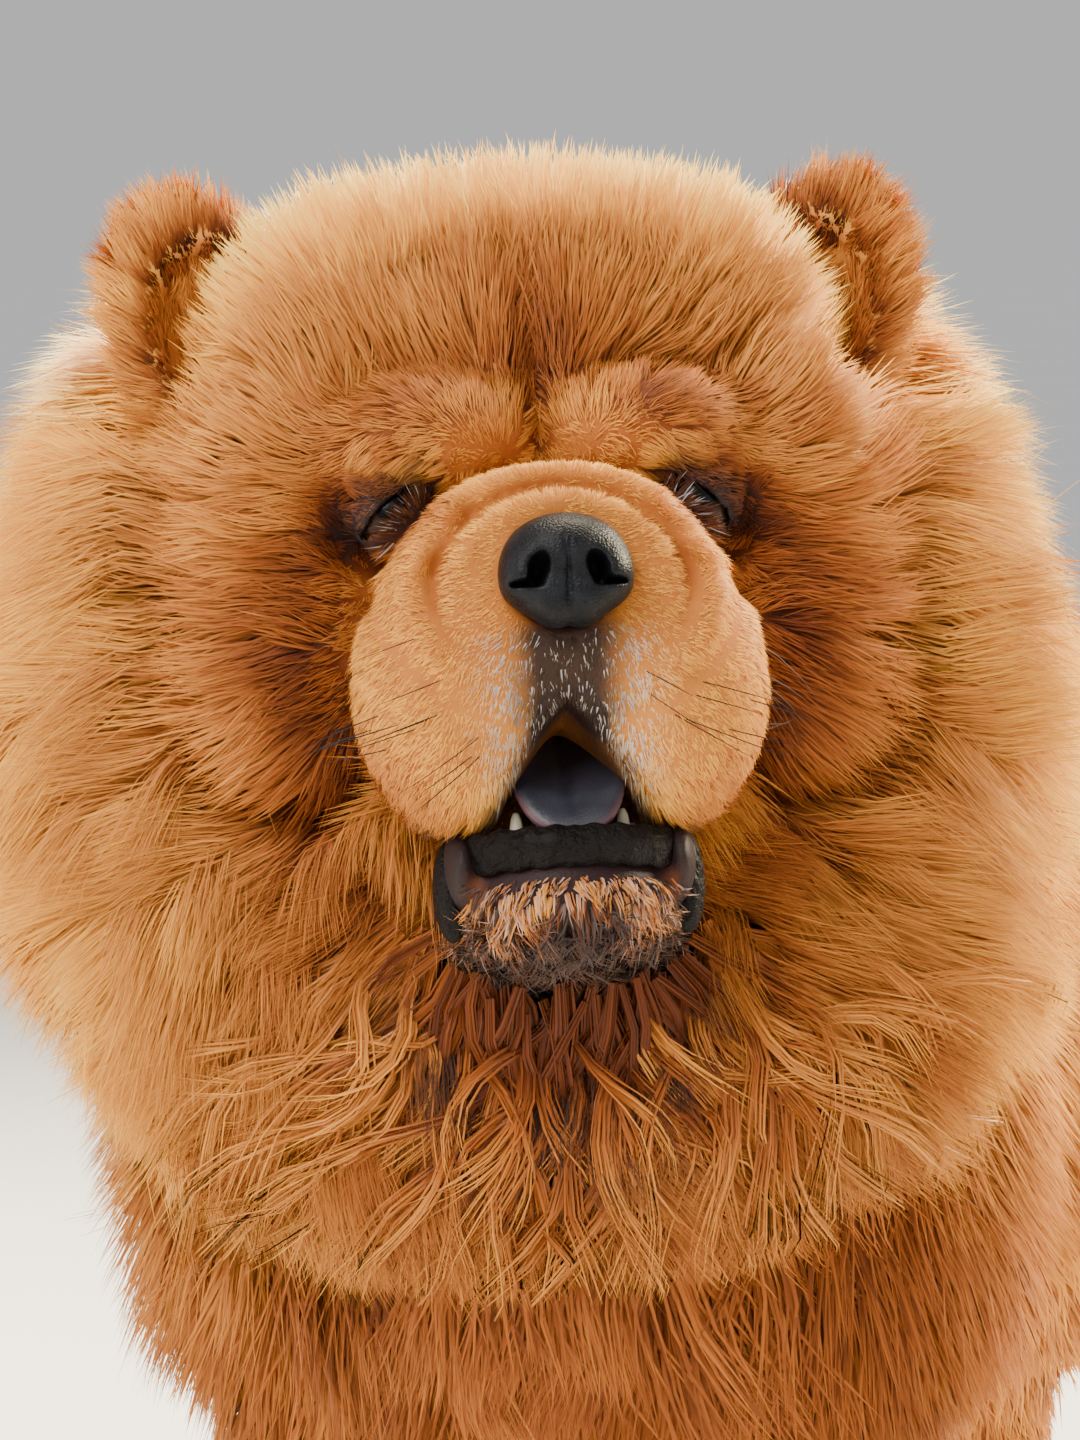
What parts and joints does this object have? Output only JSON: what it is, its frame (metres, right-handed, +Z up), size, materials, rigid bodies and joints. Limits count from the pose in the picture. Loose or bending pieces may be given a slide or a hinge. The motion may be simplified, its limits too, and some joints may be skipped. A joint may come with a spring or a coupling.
{
  "type": "chow chow",
  "caption": "Life-size standing chow chow in full red coat, head turned and raised, mouth open with the blue-black tongue showing, tail curled over the back.",
  "frame": {"origin": "on the floor under the middle of the model's bounding box", "axes": "+Z up, -Y towards the dog's front, +X to the dog's left"},
  "size_m": [0.4306, 0.7544, 0.7109],
  "materials": {
    "coat": "red double coat, soft and matt",
    "face_coat": "short plush face coat, paler on the muzzle",
    "nose": "damp black nose leather",
    "tongue": "damp blue-black tongue",
    "lip": "damp black lips and chin",
    "eye": "glossy dark brown"
  },
  "bodies": {
    "root": {"eye_left": "eye", "eye_right": "eye", "nose": "nose", "tongue": "tongue", "jaw": "lip", "head": "face_coat", "ear_left": "coat", "ear_right": "coat", "neck_ruff": "coat", "torso": "coat", "tail_root": "coat", "tail_plume": "coat", "front_leg_left": "coat", "front_leg_right": "coat", "thigh_left": "coat", "thigh_right": "coat", "hind_leg_left": "coat", "hind_leg_right": "coat", "front_paw_left": "coat", "front_paw_right": "coat", "hind_paw_left": "coat", "hind_paw_right": "coat"}
  },
  "joints": []
}
